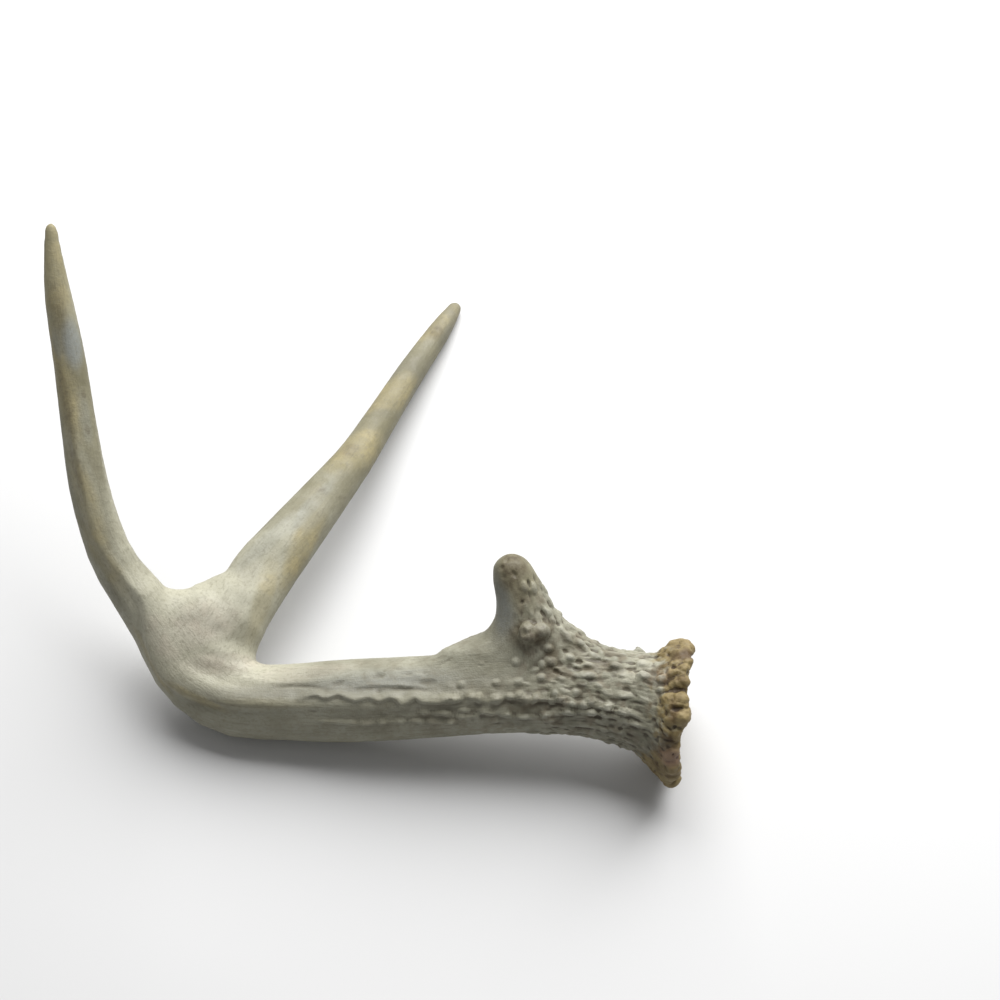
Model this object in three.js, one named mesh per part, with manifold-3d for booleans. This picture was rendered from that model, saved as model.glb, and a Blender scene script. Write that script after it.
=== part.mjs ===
// One antler of a young deer: a knobbly burr around its sawn base, the main beam, a short brow tine,
// and a fork where the long second tine and the tip of the beam part.
//
// The antler is described in its own flat: x runs up to 0 at the burr, y points to the side the tines
// grow on, and z stands out of the flat. It is then leaned back until it lies on its burr, on the bend
// of its beam and on the beam's tip, and moved so that the origin is under the middle of its box.
// All lengths are in millimetres. A turn is an angle around a limb: 0 on the side away from the tines,
// 90 on the side that z points to, 180 on the side of the tines.

import * as THREE from 'three';
import { mergeVertices } from 'three/addons/utils/BufferGeometryUtils.js';
import Module from 'manifold-3d';

// ---------------------------------------------------------------- driving dimensions

const LEAN = 30; // degrees that the flat leans back when the antler lies down
const FORK_GAP = 0.3; // between the pieces where the antler is parted at a fork

// A limb's stations from its root to its tip: x, y, z, half its width in the flat, half its thickness.
const BEAM = [
  [-2.0, -5.4, 0.0, 25.9, 22.4],
  [-5.5, -5.0, 0.0, 26.3, 22.8],
  [-8.5, -4.9, 0.0, 25.5, 21.9],
  [-12.0, -4.4, 0.0, 23.6, 20.0],
  [-15.5, -2.6, 0.0, 20.8, 18.2],
  [-20.5, -0.8, -0.5, 18.7, 16.8],
  [-30.0, 1.6, -1.5, 17.8, 15.8],
  [-45.0, 2.9, -3.0, 16.3, 15.2],
  [-74.0, 2.7, -5.5, 16.0, 15.2],
  [-105.0, 0.4, -8.5, 16.1, 15.0],
  [-137.0, -1.4, -12.0, 16.2, 14.4],
  [-160.0, -2.0, -15.0, 14.9, 13.6],
  [-178.0, -1.2, -17.0, 14.8, 13.2],
  [-190.0, 4.6, -17.6, 14.8, 12.6],
  [-199.8, 13.8, -17.4, 13.7, 12.0],
  [-207.4, 26.6, -15.8, 12.0, 11.0],
  [-217.6, 40.8, -13.0, 10.0, 9.8],
  [-226.2, 54.0, -9.5, 8.7, 8.6],
  [-231.3, 68.4, -6.0, 8.0, 7.8],
  [-235.3, 85.3, -3.0, 7.6, 7.3],
  [-238.3, 106.6, 0.0, 6.8, 6.6],
  [-241.6, 134.5, 4.0, 6.1, 6.0],
  [-245.0, 157.0, 7.5, 5.1, 5.0],
  [-246.4, 171.2, 10.0, 3.5, 3.4],
  [-247.2, 184.8, 12.0, 1.7, 1.7],
];
const BEAM_TIP = [
  [-188.0, 10.0, -18.5, 14.4, 10.5],
  [-181.0, 27.6, -21.5, 12.9, 9.8],
  [-171.2, 46.2, -28.5, 13.1, 9.2],
  [-160.2, 60.9, -37.5, 11.7, 8.8],
  [-147.2, 78.1, -51.0, 9.8, 8.1],
  [-134.5, 95.4, -66.0, 7.9, 7.4],
  [-125.0, 111.7, -81.5, 6.8, 6.6],
  [-112.1, 133.8, -100.0, 5.9, 5.8],
  [-99.6, 153.7, -117.0, 4.7, 4.6],
  [-92.8, 165.0, -126.5, 2.5, 2.5],
];
const BROW_TINE = [
  [-63.4, 4.0, -3.0, 36.0, 11.0],
  [-63.4, 17.5, -2.0, 36.0, 11.0],
  [-63.4, 21.0, -1.5, 30.4, 11.0],
  [-63.4, 24.5, -0.5, 22.0, 10.8],
  [-63.8, 28.5, 0.5, 15.8, 10.2],
  [-64.8, 35.0, 2.0, 11.6, 9.2],
  [-66.4, 41.5, 3.0, 9.5, 8.4],
  [-69.5, 51.2, 5.0, 7.8, 7.2],
  [-70.8, 57.6, 6.0, 4.9, 4.8],
];
// The web of bone that fills the fork, from the second tine across to the tip of the beam.
const FORK_WEB = [
  [-213.0, 36.8, -14.5, 8.2, 7.2],
  [-207.0, 31.5, -15.2, 14.4, 9.4],
  [-196.5, 26.8, -16.8, 17.8, 10.8],
  [-186.0, 29.8, -19.4, 18.6, 10.8],
  [-179.5, 37.0, -23.0, 15.4, 9.6],
  [-175.0, 44.5, -26.5, 12.0, 9.0],
];

const FLARE = 18; // length at the burr over which the beam's sections stay parallel to its base

// Ridges along the beam: their turn, where they start and end, how proud they stand, how wide they are
// in degrees, and the spacing of the swells that scallop them.
const RIDGES = [
  { turn: 92, start: 58, end: 235, proud: 1.7, spread: 13, swells: 9.5 },
  { turn: 58, start: 30, end: 150, proud: 0.9, spread: 10, swells: 7.5 },
  { turn: 132, start: 20, end: 120, proud: 0.8, spread: 12, swells: 12 },
  { turn: 205, start: 18, end: 170, proud: 1.0, spread: 13, swells: 10 },
  { turn: 255, start: 22, end: 150, proud: 1.2, spread: 14, swells: 8.5 },
  { turn: 305, start: 26, end: 120, proud: 0.9, spread: 12, swells: 11 },
];
const RIDGE_RISE = 20; // length over which a ridge rises from the plain bone
const RIDGE_FALL = 60; // length over which it dies away

// Pearls on the side that z points to: distance from the burr, turn, half length, half width.
const PEARLS = [
  [94, 90, 3.4, 1.8],
  [91, 107, 2.0, 1.8],
  [83, 86, 1.9, 2.4],
  [77, 105, 1.7, 1.7],
  [77, 82, 2.6, 2.1],
  [69, 139, 1.9, 1.7],
  [68, 106, 2.3, 1.9],
  [62, 83, 1.8, 2.6],
  [59, 113, 1.7, 1.7],
  [56, 139, 2.8, 2.0],
  [51, 92, 1.9, 1.8],
  [47, 77, 1.8, 1.7],
  [40, 115, 2.5, 2.2],
  [38, 150, 3.2, 1.7],
  [30, 135, 2.8, 1.5],
  [20, 144, 2.6, 1.6],
  [18, 124, 3.0, 1.7],
];
// The lump at the root of the brow tine, in two halves: x, y, z of the centre and its radius.
const ROOT_LUMPS = [
  [-63.5, 26.0, 10.2, 4.0],
  [-58.6, 27.6, 9.2, 3.6],
];
// The other pearls stand in rows around the beam, smaller the farther they are from the burr.
const PEARL_ROWS = {
  start: 21,
  end: 92,
  count: 7,
  firstTurn: 200,
  lastTurn: 316,
  around: 4,
  large: 2.6,
  small: 1.6,
  scatter: 2.5,
};

// The lumps of the burr, blunt fingers that lie along the flare. They stand farthest from the base at
// one turn and nearest to it on the other side, and proudest on the side away from the tines. Each
// differs in size by up to the variation, and in place by up to the scatter.
const BURR = {
  lumps: 18,
  nearest: 0.8,
  farthest: 4.0,
  farthestTurn: 72,
  long: 4.4,
  wide: 4.6,
  lowest: 1.6,
  proudest: 2.6,
  variation: 0.25,
  scatter: 5, // degrees
};

// The base, ring by ring outwards from the middle of the sawn bone: depth inside the rim and share of it.
const BASE_RINGS = [
  { depth: 3.2, share: 0.62 },
  { depth: 7.0, share: 0.68 },
  { depth: 6.6, share: 0.8 },
  { depth: 1.2, share: 0.94 },
];

// Where the limbs are parted: the distance from their root, and the size of the block that takes the limb.
const CUTS = {
  browTine: { distance: 29.5, width: 60, depth: 60 },
  secondTine: { distance: 258, width: 160, depth: 90 },
  beamTip: { distance: 30, width: 60, depth: 150 },
};

// The facets of each limb: how many around, how long they are, and the length of the rounded nose.
const FACETS = {
  beam: { sides: 26, fineEnd: 96, fineStep: 4.8, step: 9, nose: 2 },
  beamTip: { sides: 16, step: 8.5, nose: 2.5 },
  browTine: { sides: 18, step: 4, nose: 4 },
  forkWeb: { sides: 16, step: 6, nose: 3 },
};
const NOSE_RISES = [30, 60]; // degrees around the nose where its rings stand

const BONE = new THREE.MeshStandardMaterial({ color: '#b9b5a2', roughness: 0.72, metalness: 0 });

// ---------------------------------------------------------------- solids

const wasm = await Module();
wasm.setup();

function solidOf(geometry) {
  geometry.deleteAttribute('normal');
  geometry.deleteAttribute('uv');
  const merged = mergeVertices(geometry);
  return new wasm.Manifold(
    new wasm.Mesh({
      numProp: 3,
      vertProperties: merged.attributes.position.array,
      triVerts: new Uint32Array(merged.index.array),
    }),
  );
}

function meshOf(solid, name) {
  const { vertProperties, triVerts } = solid.getMesh();
  const geometry = new THREE.BufferGeometry();
  geometry.setAttribute('position', new THREE.BufferAttribute(vertProperties, 3));
  geometry.setIndex(new THREE.BufferAttribute(triVerts, 1));
  geometry.computeVertexNormals();
  const mesh = new THREE.Mesh(geometry, BONE);
  mesh.name = name;
  return mesh;
}

// ---------------------------------------------------------------- limbs

const OUT_OF_FLAT = new THREE.Vector3(0, 0, 1);
const { degToRad: radians, radToDeg, clamp, euclideanModulo, lerp, smoothstep } = THREE.MathUtils;

class Limb {
  // The sections of the flare are parallel. Past it, over as long again, they turn to follow the line.
  constructor(stations, flare = 0) {
    this.flare = flare;
    this.line = new THREE.CatmullRomCurve3(
      stations.map(([x, y, z]) => new THREE.Vector3(x, y, z)),
      false,
      'centripetal',
    );
    this.line.arcLengthDivisions = 400;
    this.girth = new THREE.CatmullRomCurve3(
      stations.map(([, , , wide, thick]) => new THREE.Vector3(wide, thick, 0)),
      false,
      'catmullrom',
      0.5,
    );
    this.length = this.line.getLength();
  }

  // The section at a distance from the root: its centre, its three axes and its half sizes.
  section(distance) {
    const t = this.line.getUtoTmapping(clamp(distance / this.length, 0, 1));
    const centre = this.line.getPoint(t);
    const turned = smoothstep(distance, this.flare, 2 * this.flare);
    const along = this.line.getTangent(0).lerp(this.line.getTangent(t), turned).normalize();
    const across = OUT_OF_FLAT.clone().cross(along).normalize();
    const outward = along.clone().cross(across).normalize();
    const { x: wide, y: thick } = this.girth.getPoint(t);
    return { centre, along, across, outward, wide, thick };
  }
}

function pointOn({ centre, across, outward, wide, thick }, turn, proud = 0) {
  return centre
    .clone()
    .addScaledVector(across, (wide + proud) * Math.cos(turn))
    .addScaledVector(outward, (thick + proud) * Math.sin(turn));
}

function ringOn(section, sides, reliefAt) {
  const turns = Array.from({ length: sides }, (_, side) => (2 * Math.PI * side) / sides);
  return turns.map((turn) => pointOn(section, turn, reliefAt(turn)));
}

// A closed skin over a list of rings of points, with one point that closes each end.
function skin(rings, first, last) {
  const sides = rings[0].length;
  const points = [...rings.flat(), first, last];
  const firstIndex = points.length - 2;
  const lastIndex = points.length - 1;
  const at = (ring, side) => ring * sides + (side % sides);
  const faces = [];
  for (let side = 0; side < sides; side += 1) {
    faces.push(firstIndex, at(0, side + 1), at(0, side));
    faces.push(at(rings.length - 1, side), at(rings.length - 1, side + 1), lastIndex);
    for (let ring = 0; ring + 1 < rings.length; ring += 1) {
      faces.push(at(ring, side), at(ring, side + 1), at(ring + 1, side));
      faces.push(at(ring, side + 1), at(ring + 1, side + 1), at(ring + 1, side));
    }
  }
  const geometry = new THREE.BufferGeometry().setFromPoints(points);
  geometry.setIndex(faces);
  return geometry;
}

// Evenly spaced numbers from first up to last, which is left out.
function spaced(first, last, step) {
  const count = Math.round((last - first) / step);
  return Array.from({ length: count }, (_, index) => lerp(first, last, index / count));
}

function narrowed(section, share) {
  return { ...section, wide: section.wide * share, thick: section.thick * share };
}

// A limb's solid with a rounded nose. relief(distance, turn) is how far it stands proud of its section.
function limbSolid(limb, facets, base = [], relief = () => 0) {
  const { sides, fineEnd = 0, fineStep = 1, step, nose } = facets;
  const smooth = () => 0;
  const root = limb.section(0);
  const inside = (depth) => root.centre.clone().addScaledVector(root.along, depth);
  const baseRings = base.map(({ depth, share }) =>
    ringOn(narrowed({ ...root, centre: inside(depth) }, share), sides, smooth),
  );
  const noseStart = limb.length - nose;
  const distances = [...spaced(0, fineEnd, fineStep), ...spaced(fineEnd, noseStart, step), noseStart];
  const bodyRings = distances.map((distance) =>
    ringOn(limb.section(distance), sides, (turn) => relief(distance, turn)),
  );
  const noseRings = NOSE_RISES.map(radians).map((rise) =>
    ringOn(narrowed(limb.section(noseStart + nose * Math.sin(rise)), Math.cos(rise)), sides, smooth),
  );
  const start = base.length ? inside(base[0].depth) : root.centre;
  const tip = limb.section(limb.length).centre;
  return solidOf(skin([...baseRings, ...bodyRings, ...noseRings], start, tip));
}

function beamRelief(distance, turn) {
  const heights = RIDGES.map((ridge) => {
    const away = euclideanModulo(radToDeg(turn) - ridge.turn + 180, 360) - 180;
    const rise = smoothstep(distance, ridge.start, ridge.start + RIDGE_RISE);
    const fall = 1 - smoothstep(distance, ridge.end - RIDGE_FALL, ridge.end);
    const scallop = 0.8 + 0.2 * Math.cos((2 * Math.PI * distance) / ridge.swells);
    return ridge.proud * rise * fall * scallop * Math.exp(-((away / ridge.spread) ** 2));
  });
  return heights.reduce((sum, height) => sum + height, 0);
}

// ---------------------------------------------------------------- pearls and the burr

// A low dome that stands on a limb, half sunk in it.
function domeOn(limb, distance, turn, { long, wide, proud }) {
  const section = limb.section(distance);
  const up = section.across
    .clone()
    .multiplyScalar(Math.cos(turn) / section.wide)
    .addScaledVector(section.outward, Math.sin(turn) / section.thick)
    .normalize();
  const side = section.along.clone().cross(up).normalize();
  const forward = up.clone().cross(side);
  const place = new THREE.Matrix4().makeBasis(forward, up, side).setPosition(pointOn(section, turn));
  return solidOf(new THREE.SphereGeometry(1, 6, 4).scale(long, proud, wide).applyMatrix4(place));
}

// A number from -1 to 1 that looks random and is the same each time.
function scatter(row, column) {
  return Math.sin(12.9 * row + 78.2 * column);
}

function pearls(limb) {
  return PEARLS.map(([distance, turn, long, wide]) =>
    domeOn(limb, distance, radians(turn), { long, wide, proud: wide }),
  );
}

function pearlRows(limb) {
  const { start, end, count, firstTurn, lastTurn, around, large, small } = PEARL_ROWS;
  const domes = [];
  for (let row = 0; row < count; row += 1) {
    const share = row / (count - 1);
    const size = lerp(large, small, share);
    for (let column = 0; column < around; column += 1) {
      const chance = scatter(row, column);
      const distance = lerp(start, end, share) + PEARL_ROWS.scatter * chance;
      const turn = lerp(firstTurn, lastTurn, (column + 0.5 * (row % 2) + 0.25 * chance) / around);
      const shape = { long: size * (1.2 + 0.3 * chance), wide: size, proud: 0.8 * size };
      domes.push(domeOn(limb, distance, radians(turn), shape));
    }
  }
  return domes;
}

function burrLumps(limb) {
  return Array.from({ length: BURR.lumps }, (_, index) => {
    const chance = scatter(index, BURR.lumps);
    const turn = (2 * Math.PI * index) / BURR.lumps + radians(BURR.scatter * chance);
    const set = (1 + Math.cos(turn - radians(BURR.farthestTurn))) / 2;
    const below = (1 + Math.cos(turn)) / 2;
    const swell = 1 + BURR.variation * chance;
    const proud = lerp(BURR.lowest, BURR.proudest, below) * swell;
    const shape = { long: BURR.long, wide: BURR.wide * swell, proud };
    return domeOn(limb, lerp(BURR.nearest, BURR.farthest, set), turn, shape);
  });
}

function rootLumps() {
  return ROOT_LUMPS.map(([x, y, z, radius]) =>
    solidOf(new THREE.SphereGeometry(radius, 8, 6).translate(x, y, z)),
  );
}

// ---------------------------------------------------------------- the whole antler

const beam = new Limb(BEAM, FLARE);
const beamTip = new Limb(BEAM_TIP);
const browTine = new Limb(BROW_TINE);
const forkWeb = new Limb(FORK_WEB);

const whole = [
  limbSolid(beam, FACETS.beam, BASE_RINGS, beamRelief),
  limbSolid(beamTip, FACETS.beamTip),
  limbSolid(browTine, FACETS.browTine),
  limbSolid(forkWeb, FACETS.forkWeb),
  ...burrLumps(beam),
  ...pearls(beam),
  ...pearlRows(beam),
  ...rootLumps(),
].reduce((sum, solid) => sum.add(solid));

// ---------------------------------------------------------------- parting at the forks

// A block that holds all of a limb past a distance from its root.
function blockPast(limb, distance, { width, depth }) {
  const { centre, along, across, outward } = limb.section(distance);
  const block = new THREE.BoxGeometry(width, depth, limb.length).translate(0, 0, limb.length / 2);
  const place = new THREE.Matrix4().makeBasis(across, outward, along).setPosition(centre);
  return solidOf(block.applyMatrix4(place));
}

function partAt(solid, limb, cut) {
  return {
    limb: solid.intersect(blockPast(limb, cut.distance + FORK_GAP, cut)),
    rest: solid.subtract(blockPast(limb, cut.distance, cut)),
  };
}

const brow = partAt(whole, browTine, CUTS.browTine);
const tine = partAt(brow.rest, beam, CUTS.secondTine);
const tip = partAt(tine.rest, beamTip, CUTS.beamTip);

// ---------------------------------------------------------------- the antler, lying down

const laid = new THREE.Group();
laid.rotation.x = radians(LEAN);
laid.add(
  meshOf(tip.rest, 'main_beam'),
  meshOf(brow.limb, 'brow_tine'),
  meshOf(tine.limb, 'second_tine'),
  meshOf(tip.limb, 'beam_tip'),
);

const part = new THREE.Group();
part.add(laid);
part.updateMatrixWorld(true);
const box = new THREE.Box3().setFromObject(part, true);
const middle = box.getCenter(new THREE.Vector3());
laid.position.set(-middle.x, -middle.y, -box.min.z);

export default part;
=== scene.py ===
# %% [markdown]
# # A deer antler, finished in Blender
#
# An antler is bone that a deer grows and sheds each year. Blood vessels that fed it left grooves, and
# between them stand ridges and small knobs, which are called pearls. Near the skull a ragged collar,
# the burr, runs round the beam. Towards the tips the deer has rubbed the bone smooth on trees.
#
# The solids of the antler are already made and packed. This lesson loads them as a fixed frame, grows a
# finer skin on them, gives it the relief and the colours of weathered bone, and lights it.

# %% Load the solids
import math

import bmesh
import bpy
import numpy as np
from mathutils import Matrix, Vector
from mathutils.bvhtree import BVHTree


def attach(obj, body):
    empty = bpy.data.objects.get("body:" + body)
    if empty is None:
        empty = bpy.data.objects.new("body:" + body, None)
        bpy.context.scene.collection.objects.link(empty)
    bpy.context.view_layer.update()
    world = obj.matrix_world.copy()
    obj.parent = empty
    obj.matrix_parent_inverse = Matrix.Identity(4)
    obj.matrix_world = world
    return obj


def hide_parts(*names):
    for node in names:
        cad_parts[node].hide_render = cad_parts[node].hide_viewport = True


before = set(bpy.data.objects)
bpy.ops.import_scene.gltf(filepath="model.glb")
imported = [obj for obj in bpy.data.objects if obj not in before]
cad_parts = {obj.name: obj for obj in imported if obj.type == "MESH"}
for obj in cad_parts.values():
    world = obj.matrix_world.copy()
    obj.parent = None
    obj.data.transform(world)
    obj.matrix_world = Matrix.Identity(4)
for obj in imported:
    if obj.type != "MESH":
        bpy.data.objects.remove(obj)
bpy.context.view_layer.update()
MM = 0.001

# %% [markdown]
# ## The antler's own directions
#
# The antler lies on a table, tipped by 30 degrees. Its relief is easier to describe before it is laid
# down: x runs along the shaft and is 0 at the burr, y points to the side of the tines, and z to the side
# that lies uppermost. These two functions turn millimetres there into metres on the table, and back.

# %% From the antler's own directions to the table and back
LEAN = math.radians(30)
BURR_PLACE = np.array([123.19, -86.98, 29.44]) * MM
TURN = np.array(Matrix.Rotation(LEAN, 3, "X"))


def laid(points):
    """Millimetres in the antler's own directions, as metres on the table."""
    return np.asarray(points, float) @ TURN.T * MM + BURR_PLACE


def unlaid(points):
    """Metres on the table, as millimetres in the antler's own directions."""
    return (np.asarray(points, float) - BURR_PLACE) @ TURN / MM


print("the burr stands at", np.round(laid([0, 0, 0]), 4), "m")

# %% [markdown]
# ## A line through each limb
#
# Everything on an antler runs along its limbs: grooves, ridges, streaks and stains. So each limb gets a
# line through its middle, with its thickness. A few points are enough, because a smooth curve joins them.

# %% The middle lines, as x, y, z and half thickness in millimetres
LIMBS = {
    "beam": [
        (12, -6, 1, 24), (-6, -5, 0, 24), (-16, -1, 0, 19), (-30, 2, -1.5, 17), (-74, 3, -5.5, 16),
        (-137, -1, -12, 15), (-178, -1, -17, 14), (-190, 5, -17.5, 13.5), (-200, 14, -17.5, 13),
        (-217, 41, -13, 10), (-231, 68, -6, 8), (-238, 107, 0, 6.7), (-242, 135, 4, 6), (-246, 171, 10, 4),
        (-247.5, 192, 13, 2),
    ],
    "brow tine": [
        (-62.6, 0, -3, 12), (-62.6, 21, -1.5, 11), (-64.6, 35, 2, 9), (-69, 51, 5, 7.5), (-71, 62, 7, 5),
    ],
    "tip": [
        (-190, 4, -17.5, 12), (-181, 28, -21.5, 12), (-171, 46, -28.5, 11), (-160, 61, -37.5, 10),
        (-147, 78, -51, 9), (-125, 112, -81.5, 6.7), (-100, 154, -117, 4.5), (-90, 170, -130, 3),
    ],
}
LINE_STEP = 1.0


def smooth_line(points):
    """Points about LINE_STEP apart on a smooth curve through the given ones, with all their values."""
    p = np.array(points, float)
    p = np.vstack([2 * p[0] - p[1], p, 2 * p[-1] - p[-2]])
    found = []
    for a, b, c, d in zip(p, p[1:], p[2:], p[3:]):
        count = max(2, int(np.linalg.norm((c - b)[:3]) / LINE_STEP))
        t = np.linspace(0, 1, count, endpoint=False)[:, None]
        lower_terms = 2 * b + (c - a) * t + (2 * a - 5 * b + 4 * c - d) * t**2
        found.append(0.5 * (lower_terms + (3 * b - a - 3 * c + d) * t**3))
    return np.vstack(found + [p[-2:-1]])


lines = {name: smooth_line(points) for name, points in LIMBS.items()}
for name, line in lines.items():
    print(name, "is", round(np.linalg.norm(np.diff(line[:, :3], axis=0), axis=1).sum()), "mm long")

# %% [markdown]
# ## Where a point is on the antler
#
# For any point of the surface, this finds the limb that it belongs to, how far along that limb it is,
# and its offset from the line. Together they are grain coordinates: a pattern that is stretched along the
# first of them follows the limb round every bend.

# %% Grain coordinates
TABLE_UP = np.array([0, 0, 1.0])
CHUNK = 20000  # points compared with a line at a time, to spare memory


def fade(value, start, end):
    """0 before start, 1 past end, and smooth in between. Start may be larger than end."""
    t = np.clip((np.asarray(value, float) - start) / (end - start), 0, 1)
    return t * t * (3 - 2 * t)


def frame_of(line):
    """For each point of a line: its distance along the line, its direction, and two directions across it."""
    steps = np.gradient(line[:, :3], axis=0)
    along = steps / np.linalg.norm(steps, axis=1)[:, None]
    across = np.cross(TABLE_UP, along)
    across /= np.linalg.norm(across, axis=1)[:, None]
    distance = np.concatenate([[0], np.cumsum(np.linalg.norm(np.diff(line[:, :3], axis=0), axis=1))])
    return distance, along, across, np.cross(along, across)


def grain_of(points):
    """Each point's limb, its grain coordinates in mm, the limb's direction, and how clearly it is its own."""
    p = unlaid(points)
    best = np.full(len(p), np.inf)
    second = np.full(len(p), np.inf)
    limb = np.zeros(len(p), int)
    grain = np.zeros((len(p), 3))
    direction = np.zeros((len(p), 3))
    for number, line in enumerate(lines.values()):
        distance, along, across, up = frame_of(line)
        for start in range(0, len(p), CHUNK):
            part = slice(start, start + CHUNK)
            gap = ((p[part, None, :] - line[None, :, :3]) ** 2).sum(2)
            near = gap.argmin(1)
            share = np.sqrt(gap[np.arange(len(near)), near]) / line[near, 3]
            offset = p[part] - line[near, :3]
            found = np.stack([
                distance[near] + (offset * along[near]).sum(1),
                (offset * across[near]).sum(1),
                (offset * up[near]).sum(1),
            ], 1)
            closer = share < best[part]
            second[part] = np.minimum(second[part], np.maximum(share, best[part]))
            best[part] = np.where(closer, share, best[part])
            limb[part] = np.where(closer, number, limb[part])
            grain[part] = np.where(closer[:, None], found, grain[part])
            direction[part] = np.where(closer[:, None], along[near], direction[part])
    return limb, grain, direction @ TURN.T, fade(second - best, 0.03, 0.5)


limb, grain, _, _ = grain_of(laid([[-71, 60, 7]]))
print("near the brow tine's tip: limb", limb[0], "and", round(grain[0, 0]), "mm along it")

# %% [markdown]
# ## One blank from four solids
#
# The solids are parted at the forks by narrow gaps. A real antler is one piece, so copies of the tines
# are pushed half a millimetre into the beam, and a voxel remesh turns the lot into one closed skin.
# Working on copies matters, because the solids themselves must stay as they are.

# %% The joined blank
BLANK_VOXEL = 0.9
PUSHES = {
    "main_beam": (0, 0, 0),
    "brow_tine": (0, -0.5, 0),
    "second_tine": (0.2, -0.45, 0),
    "beam_tip": (-0.2, -0.4, 0.25),
}


def object_of(name, mesh):
    """A new object for a mesh, linked to the scene."""
    found = bpy.data.objects.new(name, mesh)
    bpy.context.scene.collection.objects.link(found)
    return found


def baked(obj):
    """Applies an object's modifiers: its mesh is replaced by the evaluated one."""
    graph = bpy.context.evaluated_depsgraph_get()
    mesh = bpy.data.meshes.new_from_object(obj.evaluated_get(graph))
    obj.modifiers.clear()
    obj.data = mesh
    return obj


def remeshed(obj, voxel):
    """A closed, even skin round an object's mesh, with faces of about the voxel's size in millimetres."""
    remesh = obj.modifiers.new("Remesh", "REMESH")
    remesh.mode = "VOXEL"
    remesh.voxel_size = voxel * MM
    return baked(obj)


parts = bmesh.new()
for node, push in PUSHES.items():
    before = len(parts.verts)
    parts.from_mesh(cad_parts[node].data)
    parts.verts.ensure_lookup_table()
    shift = Vector(TURN @ np.array(push) * MM)
    for corner in parts.verts[before:]:
        corner.co += shift
bmesh.ops.remove_doubles(parts, verts=parts.verts, dist=0.01 * MM)
blank_mesh = bpy.data.meshes.new("blank")
parts.to_mesh(blank_mesh)
parts.free()
blank = remeshed(object_of("antler", blank_mesh), BLANK_VOXEL)
print("blank:", len(blank.data.vertices), "corners")

# %% [markdown]
# ## Taking the facets off
#
# The solids are made of flat faces. Averaging each corner with its neighbours melts them, but it also
# shrinks thin tips. Taubin's way pulls each corner in and then pushes it out a little further, which
# keeps the girth. The sawn base keeps its edges, because a saw leaves them sharp. Round its rim the
# plain way melts the lumps of the solid down, to make room for finer ones.

# %% Smoothing that keeps the girth
MELT_ROUNDS = 60
RIM_ROUNDS = 150
RIM_GAIN = 1.2
BASE_CENTRE = np.array([-2.0, -5.4, 0.0])
BASE_OUT = np.array([0.9935, -0.1136, 0.0])
BASE_RADII = (26.0, 22.5)


def rows(items, key, width=3, kind=np.float32):
    """What the corners or edges of a mesh hold under a key, a row for each."""
    found = np.empty(len(items) * width, kind)
    items.foreach_get(key, found)
    return found.reshape(-1, width)


def corners(mesh):
    """The mesh's corners as an array."""
    return rows(mesh.vertices, "co").astype(float)


def normals(mesh):
    """The outward direction at each corner."""
    return rows(mesh.vertices, "normal").astype(float)


def edges(mesh):
    """The two corners of each edge."""
    return rows(mesh.edges, "vertices", 2, np.int32)


def melted(values, ends, rounds, share, pushes=(0.5, -0.53)):
    """Values of the corners, averaged with their neighbours' by their share, over and over."""
    a, b = ends.T
    count = np.bincount(ends.ravel(), minlength=len(values))[:, None]
    for push in pushes * rounds:
        total = np.stack([
            np.bincount(a, values[b, k], len(values)) + np.bincount(b, values[a, k], len(values))
            for k in range(values.shape[1])
        ], 1)
        values = values + push * share[:, None] * (total / count - values)
    return values


def put_back(mesh, co):
    """Moves the mesh's corners."""
    mesh.vertices.foreach_set("co", co.astype(np.float32).ravel())
    mesh.update()


def base_places(own):
    """Depth inside the burr's rim in mm, and the places across the base as shares of its half sizes."""
    depth = (BASE_CENTRE - own) @ BASE_OUT
    return depth, (own[:, 1] - BASE_CENTRE[1]) / BASE_RADII[0], own[:, 2] / BASE_RADII[1]


def on_base(own):
    """1 inside the rim of the base and 0 on the skin outside it."""
    depth, up, side = base_places(own)
    return fade(depth, 8.6, 7.6) * fade(np.hypot(up, side), 0.96, 0.86)


co = corners(blank.data)
ends = edges(blank.data)
own = unlaid(co)
off_base = 1 - on_base(own)
co = melted(co, ends, MELT_ROUNDS, off_base)
co = melted(co, ends, 2 * MELT_ROUNDS, fade(own[:, 0], -95, -130))
on_burr_skin = off_base * fade(own[:, 0], -15, -8)
co = melted(co, ends, RIM_ROUNDS, on_burr_skin, pushes=(0.5,))
put_back(blank.data, co)
outwards = melted(normals(blank.data), ends, 20, np.ones(len(co)), pushes=(0.5,))
co = co + outwards * (RIM_GAIN * MM * on_burr_skin)[:, None]
put_back(blank.data, co)
print("melted the facets,", int((off_base < 0.5).sum()), "corners of the base kept")

# %% [markdown]
# ## Fillets in the forks
#
# Where limbs grow together, bone fills the corner in a wide curve. Small steps in the fork's web are
# melted first. Then only the hollow places are pushed outwards, round after round, within a few
# centimetres of each fork, so the limbs keep their thickness.

# %% Fill the inner corners
WEB_MELTS = [
    # centre, reach in mm, rounds, pushes
    ((-193, 36, -19), 34, 90, (0.5, -0.5)), ((-195.5, 44, -17), 11, 30, (0.5,)),
    ((-181, 50, -19), 14, 30, (0.5,)),
]
FORK_FILLS = [
    # centre, reach in mm, rounds
    ((-62, 20, -1), 42, 240), ((-195, 35, -18), 42, 300), ((-183, 24, -20), 19, 120), ((-96, 18, 0), 22, 120),
    ((-204, 46, -16), 14, 100), ((-181, 50, -19), 12, 60),
]
ROUNDS_PER_PASS = 10

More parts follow.
